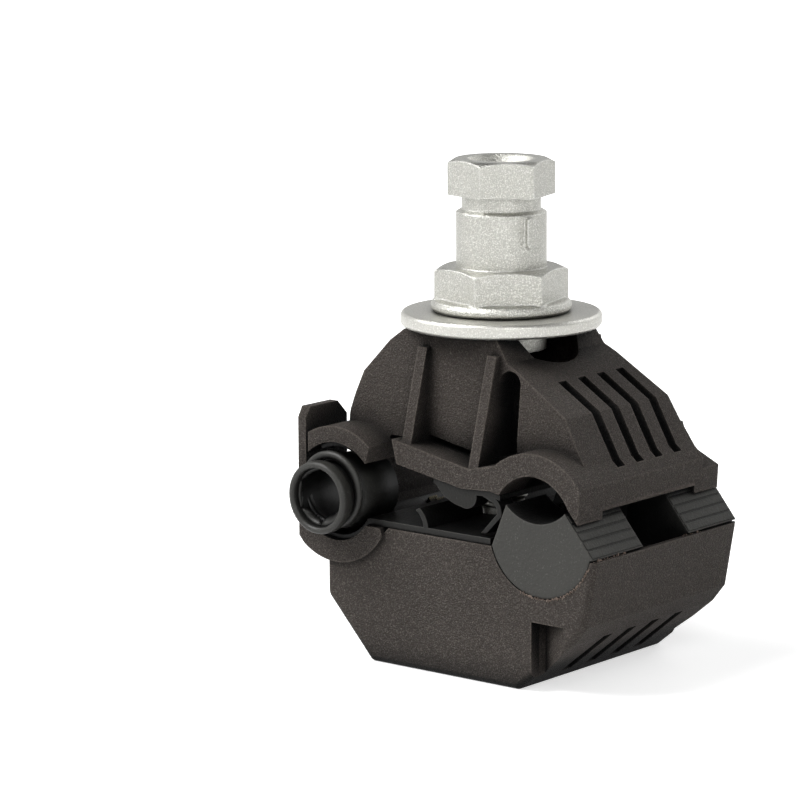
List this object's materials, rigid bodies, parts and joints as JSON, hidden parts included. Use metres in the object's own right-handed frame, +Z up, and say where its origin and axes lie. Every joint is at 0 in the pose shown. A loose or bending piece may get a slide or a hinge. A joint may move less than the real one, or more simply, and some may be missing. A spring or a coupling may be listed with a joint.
{
  "type": "insulation piercing connector",
  "caption": "Cable tap clamp: two black plastic housings with rubber-sealed cable grooves and toothed contact blades, drawn together by a bolt and a hexagonal shear nut.",
  "frame": {"origin": "where the clamp bolt's axis meets the flat base that the connector stands on", "axes": "+Z up along the clamp bolt, +X from the branch groove to the main groove, Y along both cable grooves, -Y the end with the rubber sleeve"},
  "size_m": [0.041, 0.0312, 0.0558],
  "materials": {
    "housing": "matte, fine grain",
    "zinc": "cast, dull zinc grey",
    "steel": "zinc plated, dull",
    "rubber": "matte moulded",
    "contact": "tinned copper, satin"
  },
  "bodies": {
    "lower": {"lower_body": "housing", "clamp_bolt": "steel", "lower_main_seal": "rubber", "lower_branch_seal": "rubber", "front_lower_blade": "contact", "rear_lower_blade": "contact"},
    "upper": {"upper_body": "housing", "flat_washer": "steel", "upper_main_seal": "rubber", "upper_branch_seal": "rubber", "front_upper_blade": "contact", "rear_upper_blade": "contact"},
    "nut": {"shear_nut": "zinc"},
    "sleeve": {"branch_sleeve": "rubber"}
  },
  "joints": [
    {"name": "clamp_travel", "type": "slide", "parent": "lower", "child": "upper", "axis": [0, 0, 1], "range_m": [0, 0.0063]},
    {"name": "nut_turn", "type": "hinge", "parent": "upper", "child": "nut", "pos_m": [0, 0, 0.045], "axis": [0, 0, 1], "range_deg": [0, 2330]},
    {"name": "sleeve_pull", "type": "slide", "parent": "lower", "child": "sleeve", "axis": [0, -1, 0], "range_m": [0, 0.012]}
  ],
  "couplings": [
    {"joint": "nut_turn", "follows": "clamp_travel", "rad_per_m": 6283.2}
  ]
}
